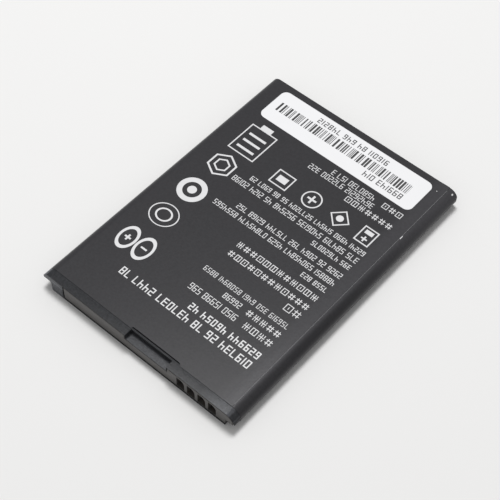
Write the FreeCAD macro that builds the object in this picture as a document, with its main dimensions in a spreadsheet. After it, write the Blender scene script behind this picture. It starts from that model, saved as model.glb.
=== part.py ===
import FreeCAD, Part
import math
import os
import Sketcher

# Removable mobile phone battery, lying printed face up.
# X runs across the width, Y along the length from the contact end to the far end, Z up.
# The origin is the middle of the footprint, on the surface that the battery lies on.

Vector = FreeCAD.Vector
Constraint = Sketcher.Constraint
document = FreeCAD.newDocument("PhoneBattery")
sheet = document.addObject("Spreadsheet::Sheet", "Size")

# Driving dimensions, in millimetres.
SIZES = [
    # the whole pack, without the label's thickness
    ("pack_width", 49.0),
    ("pack_length", 69.2),
    ("pack_thick", 4.2),
    # printed film, wrapped once round the girth with a lap on the printed face
    ("film_thick", 0.08),
    ("film_slack", 0.04),
    ("film_front_gap", 0.06),
    ("film_rear_gap", 0.1),
    ("lap_width", 1.3),
    ("lap_ramp", 1.0),
    ("lap_inset", 0.05),
    ("cut_back_round", 0.35),
    # sticker on the printed face, between the left side and the lap
    ("label_left_margin", 2.65),
    ("label_lap_margin", 0.3),
    ("label_depth", 9.0),
    ("label_thick", 0.07),
    ("label_corner", 1.45),
    ("label_from_rear", 1.8),
    # moulded end cap
    ("strip_depth", 1.85),
    ("cap_wall", 0.48),
    ("cap_side_wall", 2.6),
    ("corner_round", 0.4),
    ("left_ear_width", 2.3),
    ("left_ear_thick", 1.6),
    ("right_ear_width", 2.2),
    ("right_ear_thick", 2.2),
    ("ear_fillet", 0.5),
    ("foot_round", 0.35),
    ("notch_width", 10.4),
    ("notch_to_slot", 2.6),
    ("notch_depth", 1.8),
    ("notch_drop", 1.15),
    ("ridge_left_reach", 0.1),
    ("ridge_right_reach", 1.5),
    ("ridge_depth", 0.3),
    ("slit_width", 0.25),
    ("slit_drop", 0.35),
    # rebate in the end cap, and the front plate in it
    ("rebate_depth", 0.9),
    ("rebate_rim", 0.1),
    ("rebate_sill", 0.35),
    ("rebate_corner", 0.9),
    ("plate_gap", 0.2),
    ("plate_inset", 5.7),
    ("plate_edge_round", 0.15),
    # slots and contacts
    ("contact_count", 4),
    ("contact_wall", 1.4),
    ("slot_inset", 13.05),
    ("slot_pitch", 2.58),
    ("slot_width", 1.9),
    ("slot_roof", 0.4),
    ("slot_sill", 0.25),
    ("slot_small_round", 0.15),
    ("slot_large_round", 1.1),
    ("contact_gap", 0.2),
    ("contact_length", 0.8),
    ("contact_round", 0.12),
    # circuit board and what is soldered on it: places across it are shares of half its space
    ("board_space", 3.1),
    ("board_thick", 0.6),
    ("board_gap", 0.25),
    ("board_corner", 0.3),
    ("pad_width", 3.0),
    ("pad_thick", 0.3),
    ("pad_height", 2.0),
    ("pad_round", 0.2),
    ("positive_pad_place", 0.712),
    ("negative_pad_place", -0.597),
    ("chip_place", -0.138),
    ("chip_width", 2.9),
    ("chip_height", 1.6),
    ("chip_thick", 0.85),
    ("chip_round", 0.06),
    ("switch_place", 0.074),
    ("switch_width", 3.0),
    ("switch_height", 2.0),
    ("sense_place", 0.257),
    ("sense_width", 2.0),
    ("sense_height", 1.25),
    ("bead_width", 1.0),
    ("bead_height", 0.5),
    ("bead_thick", 0.5),
    ("filter_place", -0.276),
    ("store_place", -0.377),
    ("thermistor_place", 0.395),
    ("identity_place", 0.496),
    # cell and its lid, with places across the lid as the same shares
    ("can_round", 0.4),
    ("lid_rim", 0.35),
    ("lid_drop", 0.1),
    ("insulator_thick", 0.2),
    ("insulator_gap", 0.15),
    ("insulator_margin", 0.1),
    ("insulator_round", 0.5),
    ("gasket_width", 6.0),
    ("gasket_height", 1.8),
    ("gasket_thick", 0.3),
    ("gasket_round", 0.5),
    ("rivet_width", 3.0),
    ("rivet_height", 1.2),
    ("rivet_thick", 0.35),
    ("rivet_round", 0.5),
    ("plug_radius", 0.6),
    ("plug_thick", 0.3),
    ("plug_place", 0.367),
    ("clad_width", 6.0),
    ("clad_height", 2.0),
    ("clad_thick", 0.2),
    ("clad_place", 0.758),
    ("clad_round", 0.25),
    # nickel strips and the cut-off
    ("strip_height", 2.0),
    ("strip_thick", 0.15),
    ("strip_bend", 0.4),
    ("strip_return", 4.2),
    ("positive_start", 0.624),
    ("negative_run", 9.1),
    ("cutoff_place", -0.298),
    ("cutoff_width", 3.8),
    ("cutoff_height", 2.4),
    ("cutoff_thick", 0.9),
    # far end
    ("rear_cap_length", 1.0),
    ("rear_cap_edge", 0.2),
    ("rear_corner_round", 0.5),
    ("adhesive_thick", 0.1),
    ("adhesive_margin", 2.5),
]
for row, (name, value) in enumerate(SIZES, start=1):
    sheet.set(f"A{row}", name)
    sheet.set(f"B{row}", str(value))
    sheet.setAlias(f"B{row}", name)
document.recompute()

# Places worked out from the driving dimensions.
FRONT = "(-Size.pack_length / 2)"
REAR = "(Size.pack_length / 2)"
SIDE = "(Size.pack_width / 2)"
MIDDLE = "(Size.pack_thick / 2)"
FILM_BUILD = "(Size.film_thick + Size.film_slack)"
CORE_WIDTH = f"(Size.pack_width - 2 * {FILM_BUILD})"
CORE_THICK = f"(Size.pack_thick - 2 * {FILM_BUILD})"
STRIP_REAR = f"({FRONT} + Size.strip_depth)"
FILM_FRONT = f"({STRIP_REAR} + Size.film_front_gap)"
FILM_REAR = f"({REAR} - Size.film_rear_gap)"
RIDGE_REAR = f"({STRIP_REAR} + Size.ridge_depth)"
SLIT_REAR = f"({RIDGE_REAR} + Size.slit_width)"
REBATE_FLOOR = f"({FRONT} + Size.rebate_depth)"
BOARD_FRONT = f"({REBATE_FLOOR} + Size.contact_wall)"
BOARD_REAR = f"({BOARD_FRONT} + Size.board_thick)"
CELL_FRONT = f"({BOARD_FRONT} + Size.board_space)"
CELL_REAR = f"({REAR} - Size.rear_cap_length - Size.adhesive_thick)"
LID_FACE = f"({CELL_FRONT} + Size.lid_drop)"
SPACE_LOW = f"({FILM_BUILD} + Size.cap_wall)"
SPACE_HIGH = f"(Size.pack_thick - {SPACE_LOW})"
SPACE_SIDE = f"({CORE_WIDTH} / 2 - Size.cap_side_wall)"
FIRST_SLOT = f"({SIDE} - Size.slot_inset)"
SLOT_TOP = "(Size.pack_thick - Size.rebate_rim - Size.plate_gap - Size.slot_roof)"
SLOT_LOW = "(Size.rebate_sill + Size.plate_gap + Size.slot_sill)"
NOTCH_RIGHT = f"({FIRST_SLOT} - Size.slot_width / 2 - Size.notch_to_slot)"
NOTCH_LEFT = f"({NOTCH_RIGHT} - Size.notch_width)"
NOTCH_FLOOR = "(Size.pack_thick - Size.notch_drop)"
RIDGE_LEFT = f"({NOTCH_LEFT} - Size.ridge_left_reach)"
RIDGE_RIGHT = f"({NOTCH_RIGHT} + Size.ridge_right_reach)"
REBATE_LEFT = f"(-{SIDE} + Size.plate_inset)"
LAP_RIGHT = f"({SIDE} - {MIDDLE} - Size.lap_inset)"
LAP_LEFT = f"({LAP_RIGHT} - Size.lap_width)"
LAP_START = f"({LAP_LEFT} - Size.lap_ramp)"
INSULATOR_FACE = f"({LID_FACE} - Size.insulator_thick)"
LEAD_REAR = f"({LID_FACE} - Size.gasket_thick - Size.rivet_thick)"
PAD_FACE = f"({BOARD_REAR} + Size.pad_thick)"
CUTOFF_LEFT = f"({SPACE_SIDE} * Size.cutoff_place - Size.cutoff_width / 2)"
CUTOFF_RIGHT = f"({SPACE_SIDE} * Size.cutoff_place + Size.cutoff_width / 2)"
BELOW = "(-Size.pack_thick)"


def number(expression):
    """The present value of an expression of the sheet."""
    return float(sheet.evalExpression(expression))


def new_body(label):
    body = document.addObject("PartDesign::Body", label)
    body.Label = label
    return body


def new_sketch(body, name, role, level):
    """A sketch on one of the body's own planes, moved along the plane's normal to a level."""
    plane = [feature for feature in body.Origin.OriginFeatures if feature.Role == role][0]
    sketch = body.newObject("Sketcher::SketchObject", f"{body.Name}_{name}")
    sketch.AttachmentSupport = (plane, "")
    sketch.MapMode = "FlatFace"
    sketch.setExpression("AttachmentOffset.Base.z", level)
    return sketch


def facing_sketch(body, name, place):
    """A sketch seen from the contact end: X across, Z up, at a place along the length."""
    return new_sketch(body, name, "XZ_Plane", f"-{place}")


def plan_sketch(body, name, height):
    """A sketch seen from above: X across, Y up, at a height."""
    return new_sketch(body, name, "XY_Plane", height)


def bind(sketch, constraint, expression):
    """Adds a dimension and ties it to the sheet."""
    index = sketch.addConstraint(constraint)
    sketch.setExpression(f"Constraints[{index}]", expression)


def corner_arc(before, corner, after, radius):
    """The arc that rounds a right-angled corner, and whether it runs the outline's way."""
    towards = (before - corner).normalize()
    onwards = (after - corner).normalize()
    centre = corner + (towards + onwards) * radius
    start = -onwards
    finish = -towards
    anticlockwise = start.x * finish.y - start.y * finish.x > 0
    if not anticlockwise:
        start, finish = finish, start
    first = math.atan2(start.y, start.x)
    last = math.atan2(finish.y, finish.x)
    if last < first:
        last += 2 * math.pi
    circle = Part.Circle(centre, Vector(0, 0, 1), radius)
    return Part.ArcOfCircle(circle, first, last), anticlockwise


def outline(sketch, corners):
    """A closed outline of level and upright lines. A corner is (across, up) or has a radius."""
    count = len(corners)
    points = [Vector(number(corner[0]), number(corner[1]), 0) for corner in corners]
    rounds = [corner[2] if len(corner) > 2 else None for corner in corners]
    lines = []
    for index, point in enumerate(points):
        after = points[(index + 1) % count]
        way = (after - point).normalize()
        begin = point + way * (number(rounds[index]) if rounds[index] else 0.0)
        rounding = rounds[(index + 1) % count]
        end = after - way * (number(rounding) if rounding else 0.0)
        line = sketch.addGeometry(Part.LineSegment(begin, end))
        lines.append(line)
        if abs(way.x) > abs(way.y):
            sketch.addConstraint(Constraint("Horizontal", line))
            bind(sketch, Constraint("DistanceY", -1, 1, line, 1, point.y), corners[index][1])
        else:
            sketch.addConstraint(Constraint("Vertical", line))
            bind(sketch, Constraint("DistanceX", -1, 1, line, 1, point.x), corners[index][0])
    for index, rounding in enumerate(rounds):
        if not rounding:
            sketch.addConstraint(Constraint("Coincident", lines[index - 1], 2, lines[index], 1))
            continue
        neighbours = points[index - 1], points[index], points[(index + 1) % count]
        shape, anticlockwise = corner_arc(*neighbours, number(rounding))
        arc = sketch.addGeometry(shape)
        first, last = (1, 2) if anticlockwise else (2, 1)
        sketch.addConstraint(Constraint("Tangent", lines[index - 1], 2, arc, first))
        sketch.addConstraint(Constraint("Tangent", arc, last, lines[index], 1))
        bind(sketch, Constraint("Radius", arc, number(rounding)), rounding)


def polygon(sketch, corners):
    """A closed outline of straight lines between corners (across, up)."""
    points = [Vector(number(across), number(up), 0) for across, up in corners]
    for index, point in enumerate(points):
        sketch.addGeometry(Part.LineSegment(point, points[(index + 1) % len(points)]))
    for index, (across, up) in enumerate(corners):
        before = (index - 1) % len(corners)
        sketch.addConstraint(Constraint("Coincident", before, 2, index, 1))
        bind(sketch, Constraint("DistanceX", -1, 1, index, 1, points[index].x), across)
        bind(sketch, Constraint("DistanceY", -1, 1, index, 1, points[index].y), up)


def rectangle(sketch, left, right, low, high, rounding=None):
    places = [(left, low), (right, low), (right, high), (left, high)]
    outline(sketch, [place + (rounding,) if rounding else place for place in places])


def centred(sketch, across, up, width, height, rounding=None):
    """A rectangle about a point."""
    left, right = f"{across} - {width} / 2", f"{across} + {width} / 2"
    rectangle(sketch, left, right, f"{up} - {height} / 2", f"{up} + {height} / 2", rounding)


def girth(sketch, width, thick):
    """The pack's section: flat faces and fully rounded long sides, about the pack's middle."""
    radius = number(thick) / 2
    reach = number(width) / 2 - radius
    level = number(MIDDLE)
    upright = Vector(0, 0, 1)
    quarter = math.pi / 2
    top = Part.LineSegment(Vector(-reach, level + radius, 0), Vector(reach, level + radius, 0))
    right = Part.Circle(Vector(reach, level, 0), upright, radius)
    base = Part.LineSegment(Vector(reach, level - radius, 0), Vector(-reach, level - radius, 0))
    left = Part.Circle(Vector(-reach, level, 0), upright, radius)
    sketch.addGeometry(top)
    sketch.addGeometry(Part.ArcOfCircle(right, -quarter, quarter))
    sketch.addGeometry(base)
    sketch.addGeometry(Part.ArcOfCircle(left, quarter, 3 * quarter))
    for joint in ((0, 2, 1, 2), (1, 1, 2, 1), (2, 2, 3, 2), (3, 1, 0, 1)):
        sketch.addConstraint(Constraint("Tangent", *joint))
    sketch.addConstraint(Constraint("Horizontal", 0))
    bind(sketch, Constraint("DistanceX", -1, 1, 1, 3, reach), f"({width} - {thick}) / 2")
    bind(sketch, Constraint("DistanceX", 3, 3, -1, 1, reach), f"({width} - {thick}) / 2")
    bind(sketch, Constraint("DistanceY", -1, 1, 1, 3, level), MIDDLE)
    bind(sketch, Constraint("Radius", 1, radius), f"{thick} / 2")


def grow(body, name, sketch, length, backwards=False):
    """Pads a sketch. Facing sketches grow towards the far end, plan sketches upwards."""
    pad = body.newObject("PartDesign::Pad", f"{body.Name}_{name}")
    pad.Profile = sketch
    pad.setExpression("Length", length)
    facing = sketch.AttachmentSupport[0][0].Role == "XZ_Plane"
    pad.Reversed = facing != backwards
    document.recompute()
    return pad


def carve(body, name, sketch, length, backwards=False):
    """Pockets a sketch. Facing sketches cut towards the far end, plan sketches downwards."""
    before = body.Shape.Volume
    pocket = body.newObject("PartDesign::Pocket", f"{body.Name}_{name}")
    pocket.Profile = sketch
    pocket.setExpression("Length", length)
    pocket.Reversed = backwards
    document.recompute()
    if not body.Shape.Volume < before:
        raise RuntimeError(f"{pocket.Name} cuts nothing")
    return pocket


def edges_where(body, test):
    """Names of the body's edges whose middle passes a test."""
    names = []
    for index, edge in enumerate(body.Shape.Edges, start=1):
        middle = edge.valueAt((edge.FirstParameter + edge.LastParameter) / 2)
        if test(edge, middle):
            names.append(f"Edge{index}")
    return names


def soften(body, name, test, size, kind="Fillet"):
    """Rounds or chamfers the edges whose middle passes a test."""
    tip = body.Tip
    names = edges_where(body, test)
    if not names:
        raise RuntimeError(f"{body.Name}_{name} finds no edge")
    feature = body.newObject(f"PartDesign::{kind}", f"{body.Name}_{name}")
    feature.Base = (tip, names)
    feature.setExpression("Radius" if kind == "Fillet" else "Size", size)
    document.recompute()
    return feature


def near(first, second):
    return abs(first - second) < 0.001


def slot_row(body, name, start, length):
    """The row of slots, each with a sharp and a well rounded upper corner."""
    sketch = facing_sketch(body, name, start)
    left, right = f"{FIRST_SLOT} - Size.slot_width / 2", f"{FIRST_SLOT} + Size.slot_width / 2"
    corners = [(left, SLOT_LOW), (right, SLOT_LOW)]
    corners.append((right, SLOT_TOP, "Size.slot_large_round"))
    corners.append((left, SLOT_TOP, "Size.slot_small_round"))
    outline(sketch, corners)
    slot = carve(body, f"{name}_cut", sketch, length)
    row = body.newObject("PartDesign::LinearPattern", f"{body.Name}_{name}_row")
    row.Originals = [slot]
    row.Direction = (sketch, ["H_Axis"])
    row.setExpression("Length", "Size.slot_pitch * (Size.contact_count - 1)")
    row.setExpression("Occurrences", "Size.contact_count")
    body.Tip = row
    document.recompute()


def rebate_outline(sketch, gap):
    """Outline of the rebate, or of the plate in it, set in by a gap: it steps round the notch."""
    low = f"Size.rebate_sill + {gap}"
    high = f"Size.pack_thick - Size.rebate_rim - {gap}"
    step = f"{NOTCH_FLOOR} - Size.rebate_rim - {gap}"
    right = f"{SIDE} - Size.rebate_rim - {gap}"
    step_left = f"{NOTCH_LEFT} - Size.rebate_rim - {gap}"
    step_right = f"{NOTCH_RIGHT} + Size.rebate_rim + {gap}"
    left = f"{REBATE_LEFT} - Size.plate_gap + {gap}"
    corners = [(left, low, f"Size.rebate_corner - {gap}"), (right, low)]
    corners.append((right, high, f"{MIDDLE} - Size.rebate_rim - {gap}"))
    corners.append((step_right, high))
    corners.append((step_right, step))
    corners.append((step_left, step))
    corners.append((step_left, high))
    corners.append((left, high))
    outline(sketch, corners)


def right_undercut(body):
    """Takes away what lies under the right ear."""
    sketch = facing_sketch(body, "right_undercut", FRONT)
    inner = f"{SIDE} - Size.right_ear_width"
    roof = "Size.pack_thick - Size.right_ear_thick"
    rectangle(sketch, inner, "Size.pack_width", BELOW, roof)
    carve(body, "right_undercut_cut", sketch, "Size.strip_depth")


def round_front_corner(body, side, depth):
    """Rounds a front corner as seen from above: side is -1 on the left and 1 on the right."""
    sketch = plan_sketch(body, f"corner_{'right' if side > 0 else 'left'}", "Size.pack_thick")
    radius = number("Size.corner_round")
    outer = Vector(side * number(SIDE), number(FRONT), 0)
    centre = outer + Vector(-side * radius, radius, 0)
    circle = Part.Circle(centre, Vector(0, 0, 1), radius)
    on_side = Vector(outer.x, centre.y, 0)
    on_front = Vector(centre.x, outer.y, 0)
    first = math.pi if side < 0 else 1.5 * math.pi
    arc = sketch.addGeometry(Part.ArcOfCircle(circle, first, first + math.pi / 2))
    upright = sketch.addGeometry(Part.LineSegment(on_side, outer))
    level = sketch.addGeometry(Part.LineSegment(outer, on_front))
    side_end, front_end = (1, 2) if side < 0 else (2, 1)
    sketch.addConstraint(Constraint("Tangent", arc, side_end, upright, 1))
    sketch.addConstraint(Constraint("Coincident", upright, 2, level, 1))
    sketch.addConstraint(Constraint("Tangent", level, 2, arc, front_end))
    sketch.addConstraint(Constraint("Vertical", upright))
    sketch.addConstraint(Constraint("Horizontal", level))
    bind(sketch, Constraint("DistanceX", -1, 1, upright, 2, outer.x), f"{side} * {SIDE}")
    bind(sketch, Constraint("DistanceY", -1, 1, upright, 2, outer.y), FRONT)
    bind(sketch, Constraint("Radius", arc, radius), "Size.corner_round")
    carve(body, f"{sketch.Name}_cut", sketch, depth)


def make_end_cap():
    """Moulded cap: full section where it shows, a smaller seat under the film."""
    body = new_body("end_cap")
    seat = facing_sketch(body, "seat", FRONT)
    girth(seat, CORE_WIDTH, CORE_THICK)
    grow(body, "seat_pad", seat, f"{CELL_FRONT} - {FRONT}")
    strip = facing_sketch(body, "strip", FRONT)
    girth(strip, "Size.pack_width", "Size.pack_thick")
    grow(body, "strip_pad", strip, "Size.strip_depth")
    # the ridge behind the notch stands as high as the strip
    ridge = facing_sketch(body, "ridge", STRIP_REAR)
    rectangle(ridge, RIDGE_LEFT, RIDGE_RIGHT, MIDDLE, "Size.pack_thick")
    grow(body, "ridge_pad", ridge, "Size.ridge_depth")
    slit = plan_sketch(body, "slit", "Size.pack_thick")
    rectangle(slit, RIDGE_LEFT, RIDGE_RIGHT, RIDGE_REAR, SLIT_REAR)
    carve(body, "slit_cut", slit, "Size.slit_drop")
    space = facing_sketch(body, "board_space", CELL_FRONT)
    rectangle(space, f"-{SPACE_SIDE}", SPACE_SIDE, SPACE_LOW, SPACE_HIGH)
    carve(body, "board_space_cut", space, "Size.board_space", backwards=True)
    left_undercut = facing_sketch(body, "left_undercut", FRONT)
    inner = f"-{SIDE} + Size.left_ear_width"
    roof = "Size.pack_thick - Size.left_ear_thick"
    heel = f"{inner} + 2 * Size.foot_round"
    corners = [("-Size.pack_width", BELOW), (heel, BELOW), (heel, "0")]
    corners.append((inner, "0", "Size.foot_round"))
    corners.append((inner, roof, "Size.ear_fillet"))
    corners.append(("-Size.pack_width", roof))
    outline(left_undercut, corners)
    carve(body, "left_undercut_cut", left_undercut, "Size.strip_depth")
    right_undercut(body)
    rebate = facing_sketch(body, "rebate", FRONT)
    rebate_outline(rebate, "0")
    carve(body, "rebate_cut", rebate, "Size.rebate_depth")
    notch = plan_sketch(body, "notch", "Size.pack_thick")
    rectangle(notch, NOTCH_LEFT, NOTCH_RIGHT, f"2 * {FRONT}", f"{FRONT} + Size.notch_depth")
    carve(body, "notch_cut", notch, "Size.notch_drop")
    round_front_corner(body, -1, "Size.pack_thick")
    round_front_corner(body, 1, "Size.pack_thick")
    slot_row(body, "slots", REBATE_FLOOR, "Size.contact_wall")
    return body


def make_front_plate():
    """Smooth plate with the four slots and a rounded lower front edge."""
    body = new_body("front_plate")
    face = facing_sketch(body, "face", FRONT)
    rebate_outline(face, "Size.plate_gap")
    grow(body, "face_pad", face, "Size.rebate_depth")
    right_undercut(body)
    front = number(FRONT)
    foot = number("Size.rebate_sill + Size.plate_gap")
    lower = lambda edge, middle: near(middle.y, front) and near(edge.BoundBox.ZMax, foot)
    soften(body, "lower_edge", lower, "Size.plate_edge_round")
    round_front_corner(body, 1, "Size.pack_thick")
    slot_row(body, "slots", FRONT, "Size.rebate_depth")
    return body


def make_contact(index):
    """A plated contact on the board's front, standing in its slot."""
    body = new_body(f"contact_{index + 1}")
    body.setExpression("Placement.Base.x", f"{FIRST_SLOT} + {index} * Size.slot_pitch")
    half = "(Size.slot_width / 2 - Size.contact_gap)"
    low = f"{SLOT_LOW} + Size.contact_gap"
    high = f"{SLOT_TOP} - Size.slot_large_round + 2 * Size.contact_gap"
    face = facing_sketch(body, "face", f"({BOARD_FRONT} - Size.contact_length)")
    rectangle(face, f"-{half}", half, low, high)
    grow(body, "face_pad", face, "Size.contact_length")
    front = number(f"{BOARD_FRONT} - Size.contact_length")
    soften(body, "edges", lambda edge, middle: near(middle.y, front), "Size.contact_round")
    return body


def round_rear_corners(body, depth):
    """Rounds both far corners as seen from above, by what lies outside a large rounded outline."""
    sketch = plan_sketch(body, "rear_corners", "2 * Size.pack_thick")
    places = [(f"-{SIDE}", FRONT), (SIDE, FRONT), (SIDE, REAR), (f"-{SIDE}", REAR)]
    rounding = "Size.rear_corner_round"
    outline(sketch, [place + (rounding,) for place in places])
    far = f"2 * {SIDE}", f"2 * {REAR}"
    rectangle(sketch, f"-{far[0]}", far[0], f"-{far[1]}", far[1])
    carve(body, "rear_corners_cut", sketch, depth)


def make_wrap_film():
    """Film round the girth, with a lap on the printed face and a cut-back behind the notch."""
    body = new_body("wrap_film")
    length = f"{FILM_REAR} - {FILM_FRONT}"
    outer = facing_sketch(body, "outer", FILM_FRONT)
    girth(outer, "Size.pack_width", "Size.pack_thick")
    grow(body, "outer_pad", outer, length)
    # the lap's second layer rises slowly and ends in a cut edge where the side begins to turn
    lap = facing_sketch(body, "lap", FILM_FRONT)
    high = "Size.pack_thick + Size.film_thick"
    corners = [(LAP_START, MIDDLE), (LAP_RIGHT, MIDDLE), (LAP_RIGHT, high)]
    polygon(lap, corners + [(LAP_LEFT, high), (LAP_START, "Size.pack_thick")])
    grow(body, "lap_pad", lap, length)
    inner = facing_sketch(body, "inner", FILM_FRONT)
    inside = "(Size.pack_width - 2 * Size.film_thick)", "(Size.pack_thick - 2 * Size.film_thick)"
    girth(inner, *inside)
    carve(body, "inner_cut", inner, length)
    back = plan_sketch(body, "cut_back", "2 * Size.pack_thick")
    left = f"({RIDGE_LEFT} - Size.film_front_gap)"
    right = f"({RIDGE_RIGHT} + Size.film_front_gap)"
    rectangle(back, left, right, FRONT, SLIT_REAR, "Size.cut_back_round")
    carve(body, "cut_back_cut", back, f"2 * Size.pack_thick - {MIDDLE}")
    round_rear_corners(body, "2 * Size.pack_thick")
    return body


def make_label():
    """Sticker with rounded corners on the printed face."""
    body = new_body("barcode_label")
    face = plan_sketch(body, "face", "Size.pack_thick")
    left = f"(-{SIDE} + {MIDDLE} + Size.label_left_margin)"
    right = f"({LAP_START} - Size.label_lap_margin)"
    far = f"({REAR} - Size.label_from_rear)"
    rectangle(face, left, right, f"{far} - Size.label_depth", far, "Size.label_corner")
    grow(body, "face_pad", face, "Size.label_thick")
    return body


def make_cell():
    """Sealed cell: a drawn can with its lid set a little inside the rim."""
    body = new_body("cell")
    can = facing_sketch(body, "can", CELL_FRONT)
    girth(can, CORE_WIDTH, CORE_THICK)
    grow(body, "can_pad", can, f"{CELL_REAR} - {CELL_FRONT}")
    lid = facing_sketch(body, "lid", CELL_FRONT)
    girth(lid, f"({CORE_WIDTH} - 2 * Size.lid_rim)", f"({CORE_THICK} - 2 * Size.lid_rim)")
    carve(body, "lid_cut", lid, "Size.lid_drop")
    rear = number(CELL_REAR)
    soften(body, "base_edge", lambda edge, middle: near(edge.BoundBox.YMin, rear), "Size.can_round")
    return body


def lid_block(label, rear, thick, place, width, height, rounding):
    """A flat piece on the lid side of the space: rear is the face it lies on, place its share."""
    body = new_body(label)
    face = facing_sketch(body, "face", f"({rear} - {thick})")
    centred(face, f"{SPACE_SIDE} * {place}", MIDDLE, width, height, rounding)
    grow(body, "face_pad", face, thick)
    return body


def make_lid_insulator():
    """Insulating paper on the lid, with holes for the terminal, the plug and the clad plate."""
    high = f"({SPACE_HIGH} - {SPACE_LOW} - 2 * Size.insulator_margin)"
    wide = f"(2 * ({SPACE_SIDE} - Size.insulator_margin))"
    body = lid_block("lid_insulator", LID_FACE, "Size.insulator_thick", "0", wide, high,
                     "Size.insulator_round")
    gap = "2 * Size.insulator_gap"
    holes = [("terminal", "0", "Size.gasket_width", "Size.gasket_height")]
    holes.append(("plug", "Size.plug_place", "2 * Size.plug_radius", "2 * Size.plug_radius"))
    holes.append(("clad", "Size.clad_place", "Size.clad_width", "Size.clad_height"))
    for name, place, width, height in holes:
        sketch = facing_sketch(body, name, INSULATOR_FACE)
        place = f"{SPACE_SIDE} * {place}"
        centred(sketch, place, MIDDLE, f"({width} + {gap})", f"({height} + {gap})",
                "Size.insulator_gap")
        carve(body, f"{name}_hole", sketch, "Size.insulator_thick")
    return body


def make_terminal():
    """Gasket on the lid and the rivet's head on it."""
    gasket = lid_block("terminal_gasket", LID_FACE, "Size.gasket_thick", "0", "Size.gasket_width",
                       "Size.gasket_height", "Size.gasket_round")
    seat = f"({LID_FACE} - Size.gasket_thick)"
    rivet = lid_block("terminal_rivet", seat, "Size.rivet_thick", "0", "Size.rivet_width",
                      "Size.rivet_height", "Size.rivet_round")
    return [gasket, rivet]


def make_fill_plug():
    """Round plug of the filling hole."""
    body = new_body("fill_plug")
    sketch = facing_sketch(body, "head", f"({LID_FACE} - Size.plug_thick)")
    place = f"{SPACE_SIDE} * Size.plug_place"
    centre = Vector(number(place), number(MIDDLE), 0)
    circle = Part.Circle(centre, Vector(0, 0, 1), number("Size.plug_radius"))
    head = sketch.addGeometry(circle)
    bind(sketch, Constraint("DistanceX", -1, 1, head, 3, centre.x), place)
    bind(sketch, Constraint("DistanceY", -1, 1, head, 3, centre.y), MIDDLE)
    bind(sketch, Constraint("Radius", head, circle.Radius), "Size.plug_radius")
    grow(body, "head_pad", sketch, "Size.plug_thick")
    return body


def folded_strip(label, side, start, turn, end, cell_side, board_side):
    """Nickel strip folded to a U. It bends beyond turn, to the right (1) or the left (-1).

    One limb runs from start on the cell's side and the other from end on the board's side.
    """
    body = new_body(label)
    thick = "Size.strip_thick"
    bend = "Size.strip_bend"
    outer_bend = f"({bend} + {thick})"
    inside = f"({turn} - {side} * {thick})"
    sketch = plan_sketch(body, "fold", f"({MIDDLE} - Size.strip_height / 2)")
    corners = [(start, cell_side), (turn, cell_side, outer_bend)]
    corners += [(turn, board_side, outer_bend), (end, board_side)]
    corners += [(end, f"{board_side} + {thick}"), (inside, f"{board_side} + {thick}", bend)]
    corners += [(inside, f"{cell_side} - {thick}", bend), (start, f"{cell_side} - {thick}")]
    outline(sketch, corners)
    grow(body, "fold_pad", sketch, "Size.strip_height")
    return body


def make_strips():
    """Nickel strips: clad plate to board, cut-off to board, and rivet to cut-off."""
    right = f"({SPACE_SIDE} * Size.positive_pad_place + Size.strip_return)"
    start = f"({SPACE_SIDE} * Size.positive_start)"
    clad_face = f"({LID_FACE} - Size.clad_thick)"
    positive = folded_strip("positive_tab", 1, start, right, start, clad_face, PAD_FACE)
    left = f"({CUTOFF_LEFT} - Size.negative_run)"
    end = f"({SPACE_SIDE} * Size.negative_pad_place + Size.pad_width / 2)"
    negative = folded_strip("negative_tab", -1, CUTOFF_LEFT, left, end, LEAD_REAR, PAD_FACE)
    lead = new_body("cutoff_lead")
    sketch = facing_sketch(lead, "face", f"({LEAD_REAR} - Size.strip_thick)")
    low, high = f"{MIDDLE} - Size.strip_height / 2", f"{MIDDLE} + Size.strip_height / 2"
    rectangle(sketch, CUTOFF_RIGHT, "Size.rivet_width / 2", low, high)
    grow(lead, "face_pad", sketch, "Size.strip_thick")
    return [positive, negative, lead]


def make_board():
    """Narrow circuit board against the wall behind the contacts, with cut corners."""
    body = new_body("protection_board")
    face = facing_sketch(body, "face", BOARD_FRONT)
    reach = f"({SPACE_SIDE} - Size.board_gap)"
    rectangle(face, f"-{reach}", reach, f"{SPACE_LOW} + Size.board_gap",
              f"{SPACE_HIGH} - Size.board_gap")
    grow(body, "face_pad", face, "Size.board_thick")
    middle = number(f"({BOARD_FRONT} + {BOARD_REAR}) / 2")
    corner = lambda edge, point: near(point.y, middle)
    soften(body, "corners", corner, "Size.board_corner", "Chamfer")
    return body


def board_part(label, place, width, height, thick, rounding):
    """A piece soldered on the board's rear face."""
    body = new_body(label)
    face = facing_sketch(body, "face", BOARD_REAR)
    centred(face, f"{SPACE_SIDE} * {place}", MIDDLE, width, height, rounding)
    grow(body, "face_pad", face, thick)
    return body


def make_rear_cap():
    """Plain moulded strip that closes the far end, with an eased edge and rounded corners."""
    body = new_body("rear_cap")
    front = f"({REAR} - Size.rear_cap_length)"
    section = facing_sketch(body, "section", front)
    girth(section, CORE_WIDTH, CORE_THICK)
    grow(body, "section_pad", section, "Size.rear_cap_length")
    rear = number(REAR)
    far_edge = lambda edge, middle: near(edge.BoundBox.YMin, rear)
    soften(body, "edge", far_edge, "Size.rear_cap_edge")
    round_rear_corners(body, "2 * Size.pack_thick")
    return body


def make_adhesive():
    """Double-sided tape between the can's base and the rear cap."""
    body = new_body("rear_adhesive")
    face = facing_sketch(body, "face", CELL_REAR)
    width = f"({CORE_WIDTH} - 2 * Size.adhesive_margin)"
    centred(face, "0", MIDDLE, width, f"({CORE_THICK} - Size.adhesive_margin / 2)")
    grow(body, "face_pad", face, "Size.adhesive_thick")
    return body


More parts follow.
